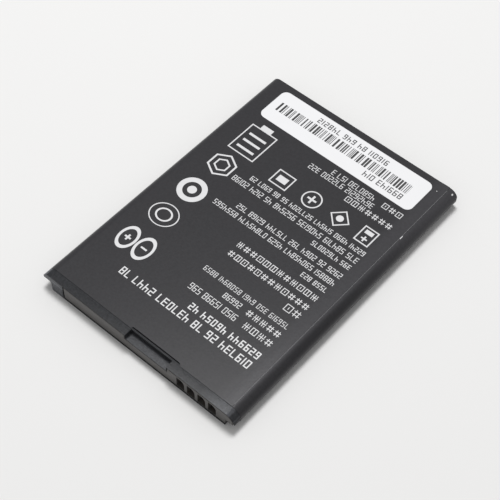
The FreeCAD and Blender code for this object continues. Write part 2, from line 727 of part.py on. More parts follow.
# What is soldered on the board: name, place across it, width, height, thickness, rounding.
BOARD_PARTS = [
    ("positive_pad", "positive_pad_place", "pad_width", "pad_height", "pad_thick", "pad_round"),
    ("negative_pad", "negative_pad_place", "pad_width", "pad_height", "pad_thick", "pad_round"),
    ("protection_chip", "chip_place", "chip_width", "chip_height", "chip_thick", "chip_round"),
    ("switch_chip", "switch_place", "switch_width", "switch_height", "chip_thick", "chip_round"),
    ("sense_resistor", "sense_place", "sense_width", "sense_height", "bead_thick", "chip_round"),
    ("filter_resistor", "filter_place", "bead_width", "bead_height", "bead_thick", "chip_round"),
    ("filter_capacitor", "store_place", "bead_width", "bead_height", "bead_thick", "chip_round"),
    ("thermistor", "thermistor_place", "bead_width", "bead_height", "bead_thick", "chip_round"),
    ("identity_resistor", "identity_place", "bead_width", "bead_height", "bead_thick", "chip_round"),
]

bodies = [make_end_cap(), make_front_plate(), make_wrap_film(), make_label(), make_cell()]
bodies += [make_lid_insulator(), *make_terminal(), make_fill_plug(), make_rear_cap()]
bodies.append(lid_block("clad_plate", LID_FACE, "Size.clad_thick", "Size.clad_place",
                        "Size.clad_width", "Size.clad_height", "Size.clad_round"))
bodies.append(lid_block("thermal_cutoff", INSULATOR_FACE, "Size.cutoff_thick", "Size.cutoff_place",
                        "Size.cutoff_width", "Size.cutoff_height", "Size.clad_round"))
bodies += [*make_strips(), make_board(), make_adhesive()]
for index in range(int(number("Size.contact_count"))):
    bodies.append(make_contact(index))
for label, *sizes in BOARD_PARTS:
    bodies.append(board_part(label, *[f"Size.{size}" for size in sizes]))

document.recompute()
for item in document.Objects:
    if "Invalid" in item.State or "Error" in item.State:
        raise RuntimeError(f"{item.Name} failed: {item.State}")
for body in bodies:
    if body.Shape.isNull() or not body.Shape.isValid() or len(body.Shape.Solids) != 1:
        raise RuntimeError(f"{body.Label} is not one sound solid")

os.makedirs("parts", exist_ok=True)
for body in bodies:
    body.Shape.exportStep(f"parts/{body.Label}.step")
    print(body.Label, round(body.Shape.Volume, 2), body.Shape.BoundBox)
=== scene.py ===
# %% [markdown]
# The object is a removable mobile phone battery: a thin pack wrapped in dark printed film, with a
# white sticker near one end and a moulded cap with recessed contacts at the other. Its solids
# come ready made in the frame, so this script only gives them their finish and adds what is
# printed, stuck or worn on them. X runs across the pack, Y along it and Z up, in metres.

# %% Load the solids
import math
import random

import bmesh
import bpy
from mathutils import Matrix, Vector


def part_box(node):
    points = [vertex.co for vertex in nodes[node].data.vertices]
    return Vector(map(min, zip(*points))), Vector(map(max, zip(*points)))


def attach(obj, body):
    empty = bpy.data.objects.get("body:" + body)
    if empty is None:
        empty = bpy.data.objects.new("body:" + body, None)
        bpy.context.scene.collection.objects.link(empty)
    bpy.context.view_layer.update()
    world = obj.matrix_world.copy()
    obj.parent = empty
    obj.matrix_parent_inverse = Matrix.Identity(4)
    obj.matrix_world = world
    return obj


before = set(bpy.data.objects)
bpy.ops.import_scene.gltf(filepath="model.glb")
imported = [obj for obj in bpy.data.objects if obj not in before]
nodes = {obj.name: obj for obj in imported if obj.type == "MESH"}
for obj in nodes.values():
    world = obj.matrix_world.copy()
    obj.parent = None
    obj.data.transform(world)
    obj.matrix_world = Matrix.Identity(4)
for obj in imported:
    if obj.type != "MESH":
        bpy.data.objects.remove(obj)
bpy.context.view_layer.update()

MM = 0.001
film_low, film_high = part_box("wrap_film")
label_low, label_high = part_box("barcode_label")
cap_low, cap_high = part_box("end_cap")
print("solids", len(nodes), "film", film_low, film_high, "cap", cap_low, cap_high)

# %% [markdown]
# Every finish below is a small tree of shader nodes. These helpers keep the trees short. They add
# a node, set the plain values of its sockets, do sums, scale a colour, read a place on the piece,
# and start a node group, which is a tree that several materials share.

# %% Helpers for node trees
def add_node(tree, kind, **settings):
    node = tree.nodes.new(kind)
    for name, value in settings.items():
        setattr(node, name, value)
    return node


def set_inputs(node, **values):
    """Sets plain values. A blank in a socket's name is written as an underscore."""
    for name, value in values.items():
        node.inputs[name.replace("_", " ")].default_value = value


def calculate(tree, operation, *values, **settings):
    """A sum of numbers and output sockets, given back as an output socket."""
    node = add_node(tree, "ShaderNodeMath", operation=operation, **settings)
    for socket, value in zip(node.inputs, values):
        if isinstance(value, bpy.types.NodeSocket):
            tree.links.new(value, socket)
        else:
            socket.default_value = value
    return node.outputs[0]


def scale_color(tree, color, amount):
    """The socket of a colour that is multiplied by the socket of a number."""
    tint = add_node(tree, "ShaderNodeVectorMath", operation="SCALE")
    tree.links.new(color, tint.inputs[0])
    tree.links.new(amount, tint.inputs["Scale"])
    return tint.outputs["Vector"]


def object_place(tree, axis):
    """The place on the piece along one axis, in metres."""
    place = add_node(tree, "ShaderNodeTexCoord")
    split = add_node(tree, "ShaderNodeSeparateXYZ")
    tree.links.new(place.outputs["Object"], split.inputs[0])
    return split.outputs[axis]


def new_group(name, inputs, outputs):
    """A shader node group. Inputs are (name, type, default) and outputs (name, type)."""
    group = bpy.data.node_groups.new(name, "ShaderNodeTree")
    for socket, kind, default in inputs:
        made = group.interface.new_socket(socket, in_out="INPUT", socket_type=kind)
        made.default_value = default
    for socket, kind in outputs:
        group.interface.new_socket(socket, in_out="OUTPUT", socket_type=kind)
    entry = group.nodes.new("NodeGroupInput")
    leave = group.nodes.new("NodeGroupOutput")
    return group, entry, leave


# %% [markdown]
# Film, paper and moulded plastic are never one even colour. Two small effects are shared by all the
# finishes, so each is a group: a soft mottle that shifts a colour a little from place to place,
# and a fine grain that roughens the surface. Both read object coordinates, so they stay fixed
# to the piece from every side.

# %% Mottle and grain
def object_noise(tree, scale, detail, roughness):
    """Noise that is fixed to the piece: its value from 0 to 1, and that value less a half."""
    place = add_node(tree, "ShaderNodeTexCoord")
    noise = add_node(tree, "ShaderNodeTexNoise")
    set_inputs(noise, Detail=detail, Roughness=roughness)
    tree.links.new(place.outputs["Object"], noise.inputs["Vector"])
    tree.links.new(scale, noise.inputs["Scale"])
    value = noise.outputs["Fac"]
    return value, calculate(tree, "SUBTRACT", value, 0.5)


def make_mottle():
    """Shifts a colour darker and lighter in soft patches."""
    group, entry, leave = new_group(
        "Mottle",
        [("Color", "NodeSocketColor", (0.5, 0.5, 0.5, 1)),
         ("Amount", "NodeSocketFloat", 0.1), ("Scale", "NodeSocketFloat", 200.0)],
        [("Color", "NodeSocketColor")])
    _, centred = object_noise(group, entry.outputs["Scale"], detail=4.0, roughness=0.6)
    amount = calculate(group, "MULTIPLY_ADD", centred, entry.outputs["Amount"], 1.0)
    group.links.new(scale_color(group, entry.outputs["Color"], amount), leave.inputs["Color"])
    return group


def make_grain():
    """A fine grain as a height for a bump, and as a spread of roughness about a middle value."""
    group, entry, leave = new_group(
        "Grain",
        [("Scale", "NodeSocketFloat", 4000.0), ("Roughness", "NodeSocketFloat", 0.5),
         ("Spread", "NodeSocketFloat", 0.1)],
        [("Height", "NodeSocketFloat"), ("Roughness", "NodeSocketFloat")])
    value, centred = object_noise(group, entry.outputs["Scale"], detail=3.0, roughness=0.55)
    group.links.new(value, leave.inputs["Height"])
    spread = calculate(group, "MULTIPLY_ADD", centred, entry.outputs["Spread"],
                       entry.outputs["Roughness"], use_clamp=True)
    group.links.new(spread, leave.inputs["Roughness"])
    return group


MOTTLE = make_mottle()
GRAIN = make_grain()
print("groups", [group.name for group in bpy.data.node_groups])

# %% [markdown]
# Nearly every finish here is a plastic, paper or metal that differs in colour, gloss and grain.
# One function builds them all: the mottle feeds the base colour, and the grain feeds both the
# roughness and a bump. The Principled shader stays in each material, with its own plain values.

# %% One function for the finishes
def finish(name, color, roughness, grain_size, bump, mottle=0.12, mottle_size=6.0,
           spread=0.15, metallic=0.0, specular=0.5):
    """A material. Sizes are in millimetres: grain_size of the grain, mottle_size of the patches."""
    material = bpy.data.materials.new(name)
    material.use_nodes = True
    tree = material.node_tree
    shader = tree.nodes["Principled BSDF"]
    set_inputs(shader, Metallic=metallic, Specular_IOR_Level=specular)
    patches = add_node(tree, "ShaderNodeGroup", node_tree=MOTTLE, name="patches")
    set_inputs(patches, Color=(*color, 1.0), Amount=mottle, Scale=1 / (mottle_size * MM))
    grain = add_node(tree, "ShaderNodeGroup", node_tree=GRAIN, name="grain")
    set_inputs(grain, Scale=1 / (grain_size * MM), Roughness=roughness, Spread=spread)
    relief = add_node(tree, "ShaderNodeBump", name="relief")
    set_inputs(relief, Strength=bump, Distance=grain_size * MM)
    tree.links.new(patches.outputs["Color"], shader.inputs["Base Color"])
    tree.links.new(grain.outputs["Roughness"], shader.inputs["Roughness"])
    tree.links.new(grain.outputs["Height"], relief.inputs["Height"])
    tree.links.new(relief.outputs["Normal"], shader.inputs["Normal"])
    return material


DRESSED = {}


def dress(names, material):
    """Gives solids of the frame a finish, and notes it."""
    for name in names:
        mesh = nodes[name].data
        mesh.materials.clear()
        mesh.materials.append(material)
        DRESSED[name] = material.name


# %% [markdown]
# Some finishes change with the place on the piece: a painted highlight makes the film paler beside
# its lap, and the cap is paler in the notch. A ramp between two places along one axis gives a mask
# from 0 to 1, and so does the distance from a spot. A patch is a factor on the colour where several
# ramps hold at once; on the film the patches are painted highlight, sheen and shade. A mask can
# also paint another colour over the one that goes into the shader.

# %% Masks by place
SPOT_OUTSIDE, SPOT_INSIDE = 1.1, 0.8


def ramp_mask(tree, axis, start, end):
    """A mask that goes from 0 at start to 1 at end, in millimetres along an axis."""
    ramp = add_node(tree, "ShaderNodeMapRange", interpolation_type="SMOOTHSTEP")
    set_inputs(ramp, From_Min=start * MM, From_Max=end * MM)
    tree.links.new(object_place(tree, axis), ramp.inputs["Value"])
    return ramp.outputs["Result"]


def patch_mask(tree, ramps):
    """A mask where every ramp holds. Each ramp is an axis, a start and an end."""
    mask = ramp_mask(tree, *ramps[0])
    for ramp in ramps[1:]:
        mask = calculate(tree, "MULTIPLY", mask, ramp_mask(tree, *ramp))
    return mask


def spot_mask(tree, centre, reach):
    """A mask that is 1 inside an oval spot. Centre and reach are in millimetres."""
    place = add_node(tree, "ShaderNodeTexCoord")
    offset = add_node(tree, "ShaderNodeVectorMath", operation="SUBTRACT")
    offset.inputs[1].default_value = Vector(centre) * MM
    tree.links.new(place.outputs["Object"], offset.inputs[0])
    share = add_node(tree, "ShaderNodeVectorMath", operation="DIVIDE")
    share.inputs[1].default_value = Vector(reach) * MM
    tree.links.new(offset.outputs["Vector"], share.inputs[0])
    length = add_node(tree, "ShaderNodeVectorMath", operation="LENGTH")
    tree.links.new(share.outputs["Vector"], length.inputs[0])
    edge = add_node(tree, "ShaderNodeMapRange", interpolation_type="SMOOTHSTEP")
    set_inputs(edge, From_Min=SPOT_OUTSIDE, From_Max=SPOT_INSIDE)
    tree.links.new(length.outputs["Value"], edge.inputs["Value"])
    return edge.outputs["Result"]


def base_color(material):
    """The shader's base colour, and the socket that feeds it so far."""
    color = material.node_tree.nodes["Principled BSDF"].inputs["Base Color"]
    return color, color.links[0].from_socket


def shade_patches(material, patches):
    """Multiplies the base colour by each patch's factor in turn."""
    tree = material.node_tree
    for factor, ramps in patches.values():
        color, before = base_color(material)
        amount = calculate(tree, "MULTIPLY_ADD", patch_mask(tree, ramps), factor - 1.0, 1.0)
        tree.links.new(scale_color(tree, before, amount), color)


def paint(material, mask, paint_color):
    """Puts another colour over the base colour where the mask is 1."""
    tree = material.node_tree
    color, before = base_color(material)
    mix = add_node(tree, "ShaderNodeMixRGB")
    tree.links.new(mask, mix.inputs["Fac"])
    tree.links.new(before, mix.inputs["Color1"])
    mix.inputs["Color2"].default_value = (*paint_color, 1.0)
    tree.links.new(mix.outputs["Color"], color)


# %% [markdown]
# The wrapped film is a matt charcoal with a weak gloss: the lamp's reflection shows only as a soft
# brightening towards the near right corner. Beside the lap, where two layers lie on each other,
# a painted highlight makes the near end a little paler. The film is soft enough to hide the step of
# the layer below it, so a bump evens out the light on the lap's slope. A painted sheen makes the
# right margin paler, and painted shade darkens the rounding beside it. Near the far end the side
# carries a small pale oval spot.

# %% Film
FILM_COLOR = (0.0425, 0.0418, 0.0450)
LAP_START, LAP_FULL, LAP_EDGE = 20.05, 21.05, 22.35
LAP_RISE = (film_high.z - label_low.z) / MM
EVENED_SHARE = 0.85
ABOVE_THE_BACK = ("Z", 0.1, 2.0)
# Each patch: its factor on the colour, then its ramps in millimetres.
FILM_PAINTED_LIGHT = {
    # Painted highlight: the near end beside the lap is made paler where the lamp's sheen falls.
    "painted highlight at the near end beside the lap": (1.15, [("X", 20.0, 20.8), ("Y", -14.0, -24.0), ("Z", 3.0, 4.0)]),
    # Painted sheen: the right margin is made paler, standing in for the lamp's reflection.
    "painted sheen on the right margin": (1.33, [("X", 17.8, 20.8), ("Z", 0.1, 1.0)]),
    # Painted shade: the right side's rounding is made darker, as the side that faces away from the
    # light.
    "painted shade on the right side's rounding": (0.58, [("X", 22.5, 23.5), ("Z", 2.2, 3.4), ("Y", 34.0, -4.0)]),
}
# A small pale oval spot is painted on the side near the far end.
PALE_SPOT_MIDDLE, PALE_SPOT_REACH = (23.9, 33.6, 3.9), (0.45, 0.42, 0.22)
PALE_SPOT_COLOR = (0.75, 0.75, 0.75)


def even_slope(material):
    """Turns the normals on the lap's slope back towards straight up."""
    tree = material.node_tree
    drop = add_node(tree, "ShaderNodeMapRange")
    set_inputs(drop, From_Min=LAP_START * MM, From_Max=LAP_FULL * MM, To_Max=-LAP_RISE)
    tree.links.new(object_place(tree, "X"), drop.inputs["Value"])
    height = calculate(tree, "MULTIPLY", drop.outputs["Result"],
                       ramp_mask(tree, *ABOVE_THE_BACK))
    slope = add_node(tree, "ShaderNodeBump")
    set_inputs(slope, Strength=EVENED_SHARE, Distance=MM)
    tree.links.new(height, slope.inputs["Height"])
    tree.links.new(slope.outputs["Normal"], tree.nodes["relief"].inputs["Normal"])


def make_film():
    material = finish("film_print", FILM_COLOR, roughness=0.238, grain_size=0.35, bump=0.04,
                      mottle=0.45, mottle_size=0.5, spread=0.05, specular=0.09)
    even_slope(material)
    shade_patches(material, FILM_PAINTED_LIGHT)
    paint(material, spot_mask(material.node_tree, PALE_SPOT_MIDDLE, PALE_SPOT_REACH), PALE_SPOT_COLOR)
    return material


dress(["wrap_film"], make_film())
print("film painted light patches", list(FILM_PAINTED_LIGHT))

# %% [markdown]
# The cap is moulded in a spark-eroded tool, which leaves a fine sparkling grain. Its top strip is
# slightly crowned, so it catches the lamp at its front and darkens towards the film. The crown
# is far too slight to model, so it goes into the bump: a parabola along Y, added to the grain.
# The floor of the notch and the front of the left ear look paler, and a painted highlight makes the
# right end of the strip paler. The far end's cap has a stronger grain and no crown.

# %% Cap
CAP_COLOR = (0.033, 0.034, 0.037)
REAR_CAP_COLOR = (0.038, 0.039, 0.042)
CROWN_RADIUS = 35.0
CROWN_MIDDLE = cap_low.y / MM + 1.0
CAP_PATCHES = {
    "floor of the notch": (1.75, [("Z", 3.3, 3.1), ("Z", 2.8, 3.0)]),
    "front of the left ear": (2.9, [("X", -18.9, -19.6), ("Z", 4.1, 3.8)]),
    # Painted highlight: the right end of the strip is made paler where it catches the lamp.
    "painted highlight on the right end of the strip": (2.3, [("X", 15.5, 22.0), ("Z", 3.9, 4.1)]),
}


def add_crown(material):
    """Adds a crown about a line across the pack to the height that feeds the bump."""
    tree = material.node_tree
    relief = tree.nodes["relief"]
    grain = tree.nodes["grain"]
    depth = relief.inputs["Distance"].default_value * relief.inputs["Strength"].default_value
    bend = -1.0 / (2 * CROWN_RADIUS * MM * depth)
    offset = calculate(tree, "SUBTRACT", object_place(tree, "Y"), CROWN_MIDDLE * MM)
    square = calculate(tree, "MULTIPLY", offset, offset)
    height = calculate(tree, "MULTIPLY_ADD", square, bend, grain.outputs["Height"])
    tree.links.new(height, relief.inputs["Height"])


def make_cap():
    material = finish("cap_texture", CAP_COLOR, roughness=0.20, grain_size=0.20, bump=0.07,
                      mottle=1.3, mottle_size=0.4, spread=0.12, specular=0.075)
    add_crown(material)
    shade_patches(material, CAP_PATCHES)
    return material


dress(["end_cap"], make_cap())
dress(["rear_cap"], finish("rear_cap_texture", REAR_CAP_COLOR, roughness=0.30,
                           grain_size=0.20, bump=0.14, mottle=0.9, mottle_size=0.35,
                           spread=0.12, specular=0.22))
print("cap patches", list(CAP_PATCHES))

# %% [markdown]
# The front plate comes from a polished tool, so it is smoother and a little browner than the cap.
# The sticker is coated paper. What lies inside the pack has plain finishes of its own: bare
# aluminium, nickel strip, gold-plated contacts, insulating paper, board lacquer and ceramic.

# %% Plate, sticker and inner pieces
# Each finish: name, colour, roughness, size of the grain in millimetres, and bump.
PLATE = finish("plate_moulding", (0.071, 0.067, 0.064), 0.42, 0.5, 0.10)
PAPER = finish("sticker_paper", (0.83, 0.83, 0.845), 0.5, 0.3, 0.05, mottle=0.04)
GOLD = finish("contact_gold", (0.80, 0.50, 0.20), 0.3, 0.1, 0.2, metallic=1.0)
CAN = finish("can_aluminium", (0.75, 0.75, 0.76), 0.35, 0.3, 0.2, metallic=1.0)
NICKEL = finish("strip_nickel", (0.62, 0.60, 0.56), 0.35, 0.2, 0.2, metallic=1.0)
SHEET = finish("insulating_paper", (0.72, 0.70, 0.62), 0.7, 0.2, 0.3)
GASKET = finish("gasket_resin", (0.05, 0.05, 0.055), 0.4, 0.3, 0.1)
BOARD = finish("board_lacquer", (0.02, 0.12, 0.05), 0.3, 0.4, 0.15)
CHIP = finish("chip_moulding", (0.02, 0.02, 0.02), 0.55, 0.1, 0.3)
CERAMIC = finish("fired_ceramic", (0.42, 0.32, 0.22), 0.6, 0.1, 0.3)
TAPE = finish("foam_tape", (0.80, 0.80, 0.78), 0.8, 0.2, 0.4)

FINISHES = [
    (PLATE, ["front_plate"]),
    (PAPER, ["barcode_label"]),
    (GOLD, ["contact_1", "contact_2", "contact_3", "contact_4"]),
    (CAN, ["cell", "fill_plug"]),
    (NICKEL, ["terminal_rivet", "clad_plate", "positive_tab", "negative_tab", "cutoff_lead",
              "positive_pad", "negative_pad"]),
    (SHEET, ["lid_insulator"]),
    (GASKET, ["terminal_gasket"]),
    (BOARD, ["protection_board"]),
    (CHIP, ["thermal_cutoff", "protection_chip", "switch_chip"]),
    (CERAMIC, ["sense_resistor", "filter_resistor", "filter_capacitor", "thermistor",
               "identity_resistor"]),
    (TAPE, ["rear_adhesive"]),
]
for material, names in FINISHES:
    dress(names, material)
print("solids with a finish", len(DRESSED), "without", sorted(set(nodes) - set(DRESSED)))

# %% [markdown]
# The print is a layer of ink a hundredth of a millimetre thick. It is built as real, very thin
# shapes, so that its edges stay crisp and it exports with the model. A few small functions add
# shapes to one mesh: an upright block, a frame, a ring and a disc.

# %% Ink shapes
INK = finish("white_ink", (0.70, 0.70, 0.71), 0.45, 0.2, 0.05, mottle=0.16, mottle_size=1.2)
BLACK_INK = finish("black_ink", (0.02, 0.02, 0.022), 0.5, 0.2, 0.05)
INK_THICK = 0.010
FILM_TOP = label_low.z / MM
LABEL_TOP = label_high.z / MM
RING_SIDES, DISC_SIDES = 48, 32


def block(mesh, left, right, near, far, base=FILM_TOP, thick=INK_THICK):
    """A flat block, in millimetres."""
    middle = Vector(((left + right) / 2, (near + far) / 2, base + thick / 2)) * MM
    size = Vector((right - left, far - near, thick)) * MM
    place = Matrix.Translation(middle) @ Matrix.Diagonal((*size, 1.0))
    bmesh.ops.create_cube(mesh, size=1.0, matrix=place)


def frame_shape(mesh, left, right, near, far, stroke):
    """A rectangular frame from four blocks that meet at the corners."""
    block(mesh, left, right, near, near + stroke)
    block(mesh, left, right, far - stroke, far)
    block(mesh, left, left + stroke, near + stroke, far - stroke)
    block(mesh, right - stroke, right, near + stroke, far - stroke)


def thicken(mesh, faces, thick):
    """Raises flat faces into a solid layer and gives back its upper corners."""
    lifted = bmesh.ops.extrude_face_region(mesh, geom=faces)
    risen = [item for item in lifted["geom"] if isinstance(item, bmesh.types.BMVert)]
    bmesh.ops.translate(mesh, verts=risen, vec=(0, 0, thick * MM))
    return risen


def ring(mesh, across, along, outer, inner, sides=RING_SIDES, stretch=1.0):
    """A flat ring, or a polygon's outline with few sides. Stretch is its length over its width."""
    edge = bmesh.ops.create_circle(mesh, cap_ends=False, segments=sides, radius=outer * MM)
    hole = bmesh.ops.create_circle(mesh, cap_ends=False, segments=sides, radius=inner * MM)
    edges = {e for v in edge["verts"] + hole["verts"] for e in v.link_edges}
    bridged = bmesh.ops.bridge_loops(mesh, edges=list(edges))
    made = edge["verts"] + hole["verts"] + thicken(mesh, bridged["faces"], INK_THICK)
    place = Matrix.Translation(Vector((across, along, FILM_TOP)) * MM)
    place = place @ Matrix.Diagonal((1.0, stretch, 1.0, 1.0))
    bmesh.ops.transform(mesh, matrix=place, verts=made)


def disc(mesh, across, along, radius):
    """A flat disc."""
    place = Matrix.Translation(Vector((across, along, FILM_TOP + INK_THICK / 2)) * MM)
    bmesh.ops.create_cone(mesh, cap_ends=True, segments=DISC_SIDES, radius1=radius * MM,
                          radius2=radius * MM, depth=INK_THICK * MM, matrix=place)


def add_piece(name, mesh, material):
    """Makes the mesh a piece that rides on the pack."""
    bmesh.ops.recalc_face_normals(mesh, faces=mesh.faces)
    data = bpy.data.meshes.new(name)
    mesh.to_mesh(data)
    mesh.free()
    data.materials.append(material)
    piece = bpy.data.objects.new(name, data)
    bpy.context.scene.collection.objects.link(piece)
    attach(piece, "root")
    print(name, len(data.polygons), "faces")


# %% [markdown]
# The film carries rows of small print without words. Each row is a run of plain numbers or small
# tiles, which a seeded draw picks. A figure or a tile is a list of strokes. An "up" stroke has a
# place across, a start and an end upwards; a "level" stroke has a height, a start and an end
# across. All are shares of the mark's width or height. The rows run from right to left and hang
# from their far edge, as print does on a pack that is turned end for end.

# %% Strokes of the figures and tiles
LEFT, RIGHT = ("up", 0.0, 0.0, 1.0), ("up", 1.0, 0.0, 1.0)
LOW_LEFT, TOP_LEFT = ("up", 0.0, 0.0, 0.5), ("up", 0.0, 0.5, 1.0)
LOW_RIGHT, TOP_RIGHT = ("up", 1.0, 0.0, 0.5), ("up", 1.0, 0.5, 1.0)
FOOT, WAIST, HEAD = (("level", height, 0.0, 1.0) for height in (0.0, 0.5, 1.0))
FIGURES = [
    [LEFT, RIGHT, FOOT, HEAD],
    [("up", 0.5, 0.0, 1.0)],
    [LOW_LEFT, TOP_RIGHT, FOOT, WAIST, HEAD],
    [RIGHT, FOOT, WAIST, HEAD],
    [TOP_LEFT, RIGHT, WAIST],
    [TOP_LEFT, LOW_RIGHT, FOOT, WAIST, HEAD],
    [LEFT, LOW_RIGHT, FOOT, WAIST, HEAD],
    [RIGHT, HEAD],
    [LEFT, RIGHT, FOOT, WAIST, HEAD],
    [TOP_LEFT, RIGHT, FOOT, WAIST, HEAD],
]
TILES = [
    [LEFT, RIGHT, FOOT, HEAD, ("up", 0.5, 0.35, 0.65)],
    [("up", 0.25, 0.0, 1.0), ("up", 0.75, 0.0, 1.0), ("level", 0.25, 0.0, 1.0),
     ("level", 0.75, 0.0, 1.0)],
    [LEFT, ("up", 0.5, 0.0, 1.0), RIGHT, FOOT, HEAD],
    [("up", 0.1, 0.0, 0.3), ("up", 0.9, 0.0, 0.3), WAIST, ("up", 0.1, 0.75, 1.0),
     ("up", 0.9, 0.75, 1.0), ("up", 0.5, 0.0, 1.0)],
]
# Each style: its marks, their width as a share of the height, the most marks between two wider
# gaps, then the stroke and the usual gap in millimetres.
STYLES = {
    "narrow": (FIGURES, 0.5, 8, 0.145, 0.24),
    "fine": (FIGURES, 0.5, 8, 0.12, 0.26),
    "square": (TILES, 0.95, 99, 0.165, 0.36),
    "bold": (FIGURES, 0.56, 6, 0.25, 0.36),
    "sticker": (FIGURES, 0.56, 6, 0.2, 0.34),
}
FEWEST_FIRST, FEWEST_LATER = 3, 2
WIDER_GAP = 0.4
SINGLE_WIDTH = 1.2
LEVEL_THICK = 0.8 * INK_THICK


def add_mark(mesh, strokes, right, far, wide, height, stroke, base):
    """Adds one mark that hangs from a far right corner, its strokes inside its own rectangle.

    Level strokes are a little thinner, so that no two faces lie in one place where they cross."""
    reach, rise = wide - stroke, height - stroke
    for way, fixed, start, end in strokes:
        if way == "up":
            first = right - fixed * reach
            block(mesh, first - stroke, first, far - end * rise - stroke, far - start * rise, base)
        else:
            first = far - fixed * rise
            block(mesh, right - end * reach - stroke, right - start * reach, first - stroke, first,
                  base, LEVEL_THICK)


def fill_row(mesh, draw, style, left, right, near, far, base=FILM_TOP):
    """Fills a row with marks from right to left, with a wider gap now and then.

    A wider gap adds a share of the height. A single stroke is a little wider than its stroke."""
    marks, share, longest, stroke, gap = STYLES[style]
    height = far - near
    wide = share * height
    place = right
    until_gap = draw.randint(FEWEST_FIRST, longest)
    while place - wide > left:
        strokes = draw.choice(marks)
        width = stroke * SINGLE_WIDTH if len(strokes) == 1 else wide
        add_mark(mesh, strokes, place, far, width, height, stroke, base)
        place -= width + gap
        until_gap -= 1
        if until_gap == 0:
            place -= WIDER_GAP * height
            until_gap = draw.randint(FEWEST_LATER, longest)


print("figures", len(FIGURES), "tiles", len(TILES), "styles", list(STYLES))

# %% [markdown]
# Twenty rows stand on the film, the heaviest at the near end. All of them come from one seeded
# draw, in the order of the table, so every run gives the same print. They are one piece, because
# one pass of one ink prints them all.

# %% Rows on the film
ROW_SEED = 5
# Each row: style, left, right, near and far, in millimetres.
ROWS = [
    ("narrow", 1.0, 12.6, 21.2, 22.6),
    ("square", 13.2, 19.5, 21.2, 22.6),
    ("narrow", -3.5, 13.6, 19.4, 20.8),
    ("square", 7.0, 19.6, 17.6, 19.0),
    ("narrow", -9.8, 19.6, 9.0, 10.2),
    ("narrow", -12.5, 19.6, 6.7, 8.1),
    ("narrow", 8.8, 19.5, 4.6, 5.8),
    ("narrow", -7.3, 19.5, 1.8, 3.1),
    ("narrow", -11.5, 19.5, -0.4, 0.9),
    ("narrow", 12.7, 19.4, -2.6, -1.4),
    ("square", -1.9, 19.3, -5.4, -4.0),
    ("square", -0.7, 19.3, -8.1, -6.7),
    ("square", 15.0, 19.3, -10.7, -9.0),
    ("fine", -2.2, 19.2, -13.8, -12.6),
    ("narrow", 4.0, 9.5, -16.2, -14.9),
    ("square", 10.4, 19.2, -16.3, -14.9),
    ("narrow", -1.3, 10.6, -18.9, -17.4),
    ("square", 11.4, 19.3, -18.9, -17.4),
    ("bold", 1.8, 19.3, -22.4, -20.8),
    ("bold", -14.7, 19.2, -25.1, -23.3),
]


def make_rows():
    draw = random.Random(ROW_SEED)
    mesh = bmesh.new()
    for style, left, right, near, far in ROWS:
        fill_row(mesh, draw, style, left, right, near, far)
    add_piece("print_rows", mesh, INK)


make_rows()

# %% [markdown]
# Larger generic signs stand down the left side: a battery with level bars, a six-sided nut, a ring
# with a dot, an oval, and two heavy ovals with a plus and a minus. A line of four small signs
# runs across the print.

# %% Signs on the film
FRAME_STROKE = 0.28
BATTERY, KNOB = (-18.8, -12.0, 12.8, 21.0), (-16.8, -14.0, 21.0, 22.2)
BAR_LEFT, BAR_RIGHT, BAR_LONG = -17.6, -13.2, 0.6
BAR_PLACES = (14.2, 16.2, 18.2)
NUT, TARGET, OVAL = (-16.2, 8.2), (-16.4, -0.7), (-16.3, -9.1)
OVAL_STRETCH, POLE_STRETCH = 0.88, 1.5
PLUS_POLE, MINUS_POLE = (-17.8, -17.85), (-13.5, -17.85)
POLE_REACH, POLE_STROKE = 0.75, 0.4
FILLED_FRAME, DIVIDED_FRAME = (-6.6, -2.2, 11.4, 15.4), (15.4, 18.9, 11.3, 15.6)
PLUS_RING, DIAMOND = (3.3, 13.4), (10.5, 13.4)


def minus(mesh, across, along, reach, stroke):
    block(mesh, across - reach, across + reach, along - stroke / 2, along + stroke / 2)


def plus(mesh, across, along, reach, stroke):
    minus(mesh, across, along, reach, stroke)
    block(mesh, across - stroke / 2, across + stroke / 2, along + stroke / 2, along + reach)
    block(mesh, across - stroke / 2, across + stroke / 2, along - reach, along - stroke / 2)


def make_signs():
    mesh = bmesh.new()
    frame_shape(mesh, *BATTERY, FRAME_STROKE)
    block(mesh, *KNOB)
    for near in BAR_PLACES:
        block(mesh, BAR_LEFT, BAR_RIGHT, near, near + BAR_LONG)
    ring(mesh, *NUT, outer=3.2, inner=2.75, sides=6)
    ring(mesh, *NUT, outer=1.8, inner=1.4, sides=6)
    ring(mesh, *TARGET, outer=3.18, inner=2.0)
    disc(mesh, *TARGET, radius=1.0)
    ring(mesh, *OVAL, outer=3.3, inner=3.05, stretch=OVAL_STRETCH)
    ring(mesh, *OVAL, outer=1.9, inner=1.5, stretch=OVAL_STRETCH)
    for pole in (PLUS_POLE, MINUS_POLE):
        ring(mesh, *pole, outer=2.05, inner=1.5, stretch=POLE_STRETCH)
    plus(mesh, *PLUS_POLE, POLE_REACH, POLE_STROKE)
    minus(mesh, *MINUS_POLE, POLE_REACH, POLE_STROKE)
    add_piece("print_signs", mesh, INK)


def make_small_signs():
    mesh = bmesh.new()
    frame_shape(mesh, *FILLED_FRAME, FRAME_STROKE)
    block(mesh, left=-5.6, right=-3.2, near=12.6, far=14.2)
    ring(mesh, *PLUS_RING, outer=2.2, inner=1.9)
    plus(mesh, *PLUS_RING, reach=1.1, stroke=0.45)
    ring(mesh, *DIAMOND, outer=2.4, inner=2.0, sides=4)
    disc(mesh, *DIAMOND, radius=0.8)
    frame_shape(mesh, *DIVIDED_FRAME, FRAME_STROKE)
    plus(mesh, across=17.15, along=12.6, reach=0.7, stroke=0.35)
    block(mesh, left=16.2, right=18.1, near=13.9, far=14.9)
    add_piece("print_small_signs", mesh, INK)


make_signs()
make_small_signs()

